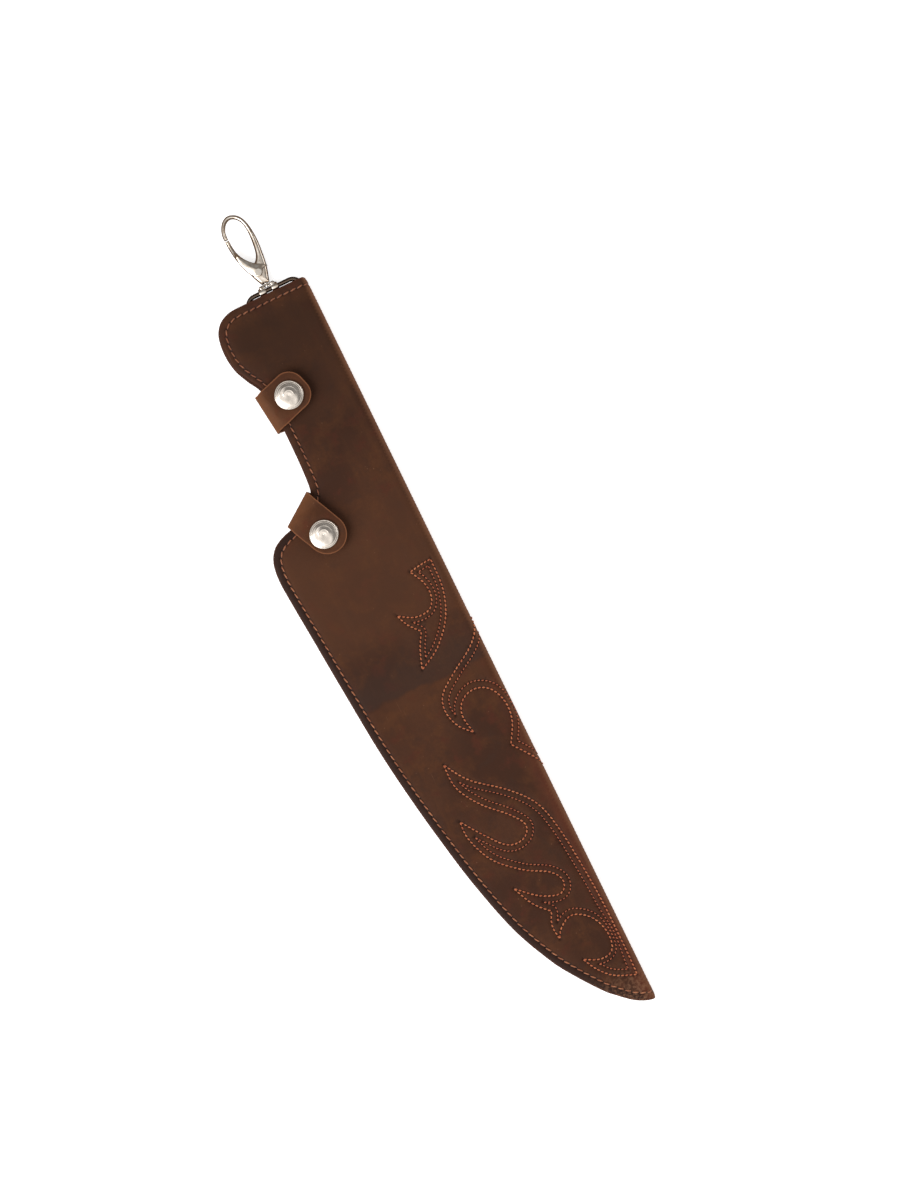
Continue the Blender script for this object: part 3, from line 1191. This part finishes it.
for which, strap in STRAPS.items():
    rows, columns = strap_rows(strap)
    verts = np.concatenate([r[0] for r in rows])
    along = np.concatenate([r[1] for r in rows])
    across = np.concatenate([r[2] for r in rows])
    rim = np.concatenate([r[3] for r in rows])
    snap = np.array(strap["snap"])
    r = np.hypot(verts[:, 0] - snap[0], verts[:, 1] - snap[1])
    on_tab = smoothstep((verts[:, 2] - 9.0) / 2.0)
    # The free end droops a little past the cap, and the leather dips under the cap's rim.
    verts[:, 2] -= on_tab * 0.40 * np.clip((r - 7.6) / 4.5, 0, 1.6) ** 2
    verts[:, 2] -= on_tab * 0.16 * np.exp(-(((r - 7.2) / 1.1) ** 2))
    verts[:, 2] += on_tab * 0.06 * np.sin(across * 0.7 + along * 0.35)
    tex = np.column_stack([across + (60.0 if which == "upper" else 160.0), along, np.zeros(len(along))])
    # Creased line along the top of the bend, rubbed paler.
    centre, u, w, wide, slant = strap_frame(strap)
    in_from_bend = (verts[:, :2] - np.array(centre)) @ np.array(u)
    fold = 0.55 * (1 - smoothstep((in_from_bend - 0.6) / 7.5)) + 0.45 * (1 - smoothstep((in_from_bend - 0.2) / 1.6))
    fold = fold * smoothstep((verts[:, 2] - 4.0) / 5.0)
    name = f"{which}_strap_leather"
    obj = build(name, verts, grid_faces(len(rows), columns),
                {"tex": tex, "edge": rim, "hole": np.zeros(len(rim)), "fold": fold}, STRAP_LEATHER)
    outward_faces(obj)
    solid = obj.modifiers.new("thick", "SOLIDIFY")
    solid.thickness = STRAP_T * MM
    solid.offset = 0.0
    solid.use_even_offset = False
    solid.use_rim = True
    round_ = obj.modifiers.new("round", "BEVEL")
    round_.width = 0.38 * MM
    round_.segments = 3
    round_.limit_method = "ANGLE"
    round_.angle_limit = math.radians(55)
    applied(obj)
    outward_faces(obj)
    sharpen(obj, 80)
    middle = (strap_frame(strap)[0].to_tuple() + (0.0,))
    place = (np.array(middle) + ORIGIN) * MM
    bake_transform(obj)
    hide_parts(f"{which}_strap_base", f"{which}_strap_bend", f"{which}_strap_tab")

    # Cap: a flattened dome with two turned steps and a finely milled rim.
    cap_z = TAB_Z + STRAP_T + GAP
    profile = [(0.02, CAP_H)]
    for i in range(1, 45):
        radius = 6.55 * i / 44
        height = CAP_H - 0.92 * (radius / 6.9) ** 2.3
        for at_r, deep in ((5.95, 0.10),):
            height -= deep * math.exp(-(((radius - at_r) / 0.2) ** 2))
        height -= 0.10 * math.exp(-((radius / 1.0) ** 2))
        profile.append((radius, height))
    for radius, height in ((6.70, 0.74), (6.80, 0.78), (6.98, 0.80), (7.16, 0.74), (7.32, 0.60),
                           (7.44, 0.40), (7.50, 0.18), (7.46, 0.04), (7.34, -0.02), (7.1, -0.03)):
        profile.append((radius, height))

    def milled(r, a):
        # Plain relief: two nested arches over a gently wavy disc.
        over = smoothstep((np.cos(a - 1.35) + 0.25) / 0.7)
        arches = 0.10 * np.exp(-(((r - 2.5) / 0.30) ** 2)) + 0.09 * np.exp(-(((r - 4.5) / 0.30) ** 2))
        wave = 0.075 * np.sin(0.95 * r * np.cos(a - 0.5) + 0.8 * np.sin(0.7 * r * np.sin(a - 0.5)))
        return arches * over + wave * smoothstep((5.7 - r) / 1.2) + 0.02 * np.cos(84 * a) * np.exp(-(((r - 7.1) / 0.22) ** 2))

    cap = lathe(f"{which}_cap", snap, profile, cap_z, 336, CAP_CHROME, milled)
    stem_profile = [(1.45, 0.4), (1.45, -(STRAP_T + 2 * GAP + 0.45))]
    stem = lathe(f"{which}_cap_stem", snap, stem_profile, cap_z, 48, STEEL)
    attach(cap, f"{which}_strap")
    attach(stem, f"{which}_strap")
    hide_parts(f"{which}_snap_cap")

# ---------------------------------------------------------------- ring, hook and gate
ring_line = rounded_rectangle(RING_X0, RING_X1, RING_Y0, RING_Y1, RING_CORNER, 14)
ring_line = np.concatenate(
    [resampled(np.vstack([a, b]), 0.6)[:-1] for a, b in zip(ring_line, ring_line[1:] + ring_line[:1])
     if math.dist(a, b) > 1e-6]
)
ring = sweep_closed("hanging_ring_wire", ring_line, RING_WIRE_R, 28, WIRE)
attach(ring, "ring")
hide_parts("hanging_ring")

hook_line = cornered(HOOK_RUNS, 0.42)
hook = pillow("hook_polished", hook_line, HUB_HALF_T, 1.6, CHROME, steps=9, fill=0.88)
cut(hook, disc("pin_bore", (PIVOT_X, PIVOT_Y), PIN_R + GAP, -5, 15))
cut(hook, disc("spring_pocket", (PIVOT_X, PIVOT_Y), 2.15, -5, Z_MID - 0.25))
cut(hook, prism("spring_slot", [(-26.5, PIVOT_Y + 0.7), (PIVOT_X - 1.1, PIVOT_Y + 0.7),
                                (PIVOT_X - 1.1, PIVOT_Y + 2.1), (-26.5, PIVOT_Y + 2.1)],
                -5, Z_MID - 0.6))
sharpen(hook, 38)
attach(hook, "hook")
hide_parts("hook_body")


def gate_half(x, y):
    """Full width over the cheeks, slimmer up the arm to meet the hook's nose."""
    t = float(smoothstep((y - 19.0) / 12.0))
    return CHEEK_OUT - 0.05 + (1.7 - CHEEK_OUT) * t


def gate_reach(x, y):
    """How far the rim's rounding runs in: tight beside the channel, full up the arm."""
    return 0.45 + 0.6 * float(smoothstep((y - 19.5) / 13.0))


gate = pillow("gate_polished", cornered(GATE_RUNS, 0.42), gate_half, gate_reach, CHROME, steps=9, fill=0.85, bulge=0.6)
cut(gate, prism("gate_channel", [(-30.0, 8.0), (-10.0, 8.0), (-10.0, 20.0), (-21.2, 21.6),
                                 (-23.4, 19.6), (-25.0, 17.2), (-30.0, 15.5)],
                Z_MID - CHEEK_IN, Z_MID + CHEEK_IN))
cut(gate, disc("gate_pin_bore", (PIVOT_X, PIVOT_Y), PIN_R + GAP, -5, 15))
sharpen(gate, 38)
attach(gate, "gate")
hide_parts("hook_gate")


# ---------------------------------------------------------------- metal pieces kept from the CAD
def finish_metal(node, mat, degrees=32, round_mm=0.0):
    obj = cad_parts[node]
    obj.data.materials.clear()
    obj.data.materials.append(mat)
    obj.data.polygons.foreach_set("use_smooth", [True] * len(obj.data.polygons))
    weld = obj.modifiers.new("weld", "WELD")
    weld.merge_threshold = 2e-6
    if round_mm:
        soft = obj.modifiers.new("soft", "BEVEL")
        soft.width = round_mm * MM
        soft.segments = 3
        soft.limit_method = "ANGLE"
        soft.angle_limit = math.radians(degrees)
    split = obj.modifiers.new("split", "EDGE_SPLIT")
    split.split_angle = math.radians(degrees)
    return obj


def turned_x(name, profile, steps, mat=None):
    """A ring-shaped piece turned about the bail's hinge line; profile is a closed loop of (x, r)."""
    profile = np.asarray(profile, float)
    a = np.arange(steps) * 2 * math.pi / steps
    x, r = profile[:, 0][:, None], profile[:, 1][:, None]
    verts = np.stack([x + 0 * a, RING_Y1 + r * np.cos(a), Z_MID + r * np.sin(a)], axis=-1).reshape(-1, 3)
    return outward_faces(build(name, verts, grid_faces(len(profile), steps, True, True), {"tex": verts}, mat))


def rod(name, a, b, radius, sides=40):
    """A plain closed cylinder from a to b, for cutting."""
    a, b = np.array(a, float), np.array(b, float)
    along = (b - a) / np.linalg.norm(b - a)
    side = np.cross(along, (0, 0, 1.0))
    side /= np.linalg.norm(side)
    other = np.cross(along, side)
    turn = np.arange(sides)[:, None] * 2 * math.pi / sides
    ring = radius * (side * np.cos(turn) + other * np.sin(turn))
    verts = np.concatenate([a + ring, b + ring])
    faces = grid_faces(2, sides, wrap_cols=True)
    faces += [tuple(range(sides))[::-1], tuple(range(sides, 2 * sides))]
    return outward_faces(build(name, verts, faces, smooth=False))


def join(obj, other):
    modifier = obj.modifiers.new("join", "BOOLEAN")
    modifier.operation = "UNION"
    modifier.solver = "EXACT"
    modifier.object = other
    applied(obj)
    bpy.data.objects.remove(other, do_unlink=True)
    return obj


def knuckle(name, x0, x1):
    corner = 0.5
    loop = [(x0 + 0.35, KNUCKLE_BORE), (x0, KNUCKLE_BORE + 0.2)]
    for i in range(7):
        a = math.radians(180 - 90 * i / 6)
        loop.append((x0 + corner + corner * math.cos(a), KNUCKLE_R - corner + corner * math.sin(a)))
    for i in range(7):
        a = math.radians(90 - 90 * i / 6)
        loop.append((x1 - corner + corner * math.cos(a), KNUCKLE_R - corner + corner * math.sin(a)))
    loop += [(x1, KNUCKLE_BORE + 0.2), (x1 - 0.35, KNUCKLE_BORE)]
    return turned_x(name, loop, 72, BAIL_CHROME)


left, right = SWIVEL_X - BAIL_HALF, SWIVEL_X + BAIL_HALF
crown = np.array([
    (left + 0.9, RING_Y1), (SWIVEL_X - BAIL_WAIST, RING_Y1), (SWIVEL_X - BAIL_WAIST, CROWN_Y0),
    (SWIVEL_X + BAIL_WAIST, CROWN_Y0), (SWIVEL_X + BAIL_WAIST, RING_Y1), (right - 0.9, RING_Y1),
    (right - 0.9, CROWN_Y1 - 0.6), (right - 1.5, CROWN_Y1), (left + 1.5, CROWN_Y1), (left + 0.9, CROWN_Y1 - 0.6),
])
crown = np.concatenate([resampled(np.vstack([a, b]), 0.3)[:-1] for a, b in zip(crown, np.roll(crown, -1, 0))])
bail = pillow("bail_polished", crown, 1.9, 0.9, BAIL_CHROME, steps=6, fill=0.8)
cut(bail, rod("bar_way", (left - 1, RING_Y1, Z_MID), (right + 1, RING_Y1, Z_MID), KNUCKLE_R - 0.35))
join(bail, knuckle("left_knuckle", left, SWIVEL_X - BAIL_WAIST))
join(bail, knuckle("right_knuckle", SWIVEL_X + BAIL_WAIST, right))
cut(bail, rod("stem_way", (SWIVEL_X, CROWN_Y0 - 1, Z_MID), (SWIVEL_X, CROWN_Y1 + 1, Z_MID), STEM_R + GAP))
sharpen(bail, 40)
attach(bail, "bail")
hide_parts("swivel_bail")
finish_metal("swivel_stem", STEEL)
finish_metal("gate_pin", PIN_CHROME)
finish_metal("gate_spring", STEEL, 60)
for which in STRAPS:
    for part in ("socket", "stud", "post"):
        finish_metal(f"{which}_snap_{part}", STEEL, 30)

# ---------------------------------------------------------------- floor, light and camera
LOOK_AT = Vector((0.0332, 0.0017, 0.007))
UP = Vector((0.438, 0.899, 0.0)).normalized()
RIGHT = UP.cross(Vector((0, 0, 1)))

floor_mesh = bpy.data.meshes.new("floor")
bm = bmesh.new()
bmesh.ops.create_grid(bm, x_segments=4, y_segments=4, size=3.0)
bmesh.ops.translate(bm, verts=bm.verts, vec=(0, 0, -0.0002))
bm.to_mesh(floor_mesh)
bm.free()
floor = bpy.data.objects.new("floor", floor_mesh)
bpy.context.scene.collection.objects.link(floor)
paper = Shader("pale_floor")
place = paper.node("ShaderNodeTexCoord").outputs["Object"]
paper.set(
    Base_Color=paper.mix(paper.noise(place, 3.0, 2.0), (0.90, 0.90, 0.90), (0.93, 0.93, 0.93)),
    Roughness=0.9, Specular_IOR_Level=0.05, Emission_Color=(1.0, 1.0, 1.0), Emission_Strength=0.60,
)
# Polished metal sees a darker floor, as on a small sweep with dark surroundings.
seen = paper.node("ShaderNodeLightPath").outputs["Is Glossy Ray"]
dim = paper.node("ShaderNodeBsdfDiffuse", {"Color": (0.17, 0.125, 0.095, 1.0)})
both = paper.node("ShaderNodeMixShader", {"Fac": seen})
paper.tree.links.new(paper.bsdf.outputs[0], both.inputs[1])
paper.tree.links.new(dim.outputs[0], both.inputs[2])
paper.tree.links.new(both.outputs[0], paper.tree.nodes["Material Output"].inputs["Surface"])
floor_mesh.materials.append(paper.mat)

Z = Vector((0, 0, 1))
world = bpy.data.worlds.new("studio")
bpy.context.scene.world = world
world.use_nodes = True
sky = Shader.__new__(Shader)
sky.tree = world.node_tree
sky.tree.nodes.clear()
away = sky.node("ShaderNodeTexCoord").outputs["Generated"]
bright = (Z * 0.90 - UP * 0.62 - RIGHT * 0.38).normalized()
toward_key = sky.node("ShaderNodeVectorMath", {0: away, 1: tuple(bright)}, operation="DOT_PRODUCT").outputs["Value"]
rise = sky.node("ShaderNodeSeparateXYZ", {"Vector": away}).outputs["Z"]
glow = sky.span(toward_key, 0.55, 1.0, 0.26, 1.5)
horizon = sky.span(rise, 0.38, 0.80)
mirrored = sky.node("ShaderNodeVectorMath", {0: (1.0, 0.985, 0.965), "Scale": glow}, operation="SCALE").outputs[0]
mirrored = sky.mix(horizon, (0.17, 0.118, 0.082), mirrored)
# Soft even light for matt surfaces; polished metal sees the lit ceiling and brown surroundings.
soft = sky.mix(sky.node("ShaderNodeLightPath").outputs["Is Glossy Ray"], (0.60, 0.59, 0.58), mirrored)
seen = sky.mix(sky.node("ShaderNodeLightPath").outputs["Is Camera Ray"], soft, (0.95, 0.95, 0.95))
back = sky.node("ShaderNodeBackground", {"Color": seen})
out = sky.node("ShaderNodeOutputWorld", {"Surface": back.outputs[0]})


def softbox(name, toward, distance, size, power, colour=(1, 1, 1)):
    data = bpy.data.lights.new(name, "AREA")
    data.shape = "RECTANGLE"
    data.size, data.size_y = size
    data.energy = power
    data.color = colour
    lamp = bpy.data.objects.new(name, data)
    bpy.context.scene.collection.objects.link(lamp)
    lamp.location = LOOK_AT + toward.normalized() * distance
    lamp.rotation_euler = (-toward).to_track_quat("-Z", "Y").to_euler()
    return lamp


softbox("key", -RIGHT * 0.80 - UP * 0.62 + Z * 1.0, 1.7, (1.3, 1.3), 25.0)
softbox("fill", RIGHT * 1.0 + UP * 0.5 + Z * 0.55, 2.0, (1.0, 0.6), 4.0)

camera_data = bpy.data.cameras.new("camera")
camera_data.sensor_width = 36.0
camera_data.lens = 96.0
camera = bpy.data.objects.new("camera", camera_data)
bpy.context.scene.collection.objects.link(camera)
turn = Matrix((RIGHT, UP, Z)).transposed()
camera.matrix_world = Matrix.Translation(LOOK_AT + Z * 1.6) @ turn.to_4x4()
bpy.context.scene.camera = camera
bpy.context.scene.view_settings.view_transform = "Standard"
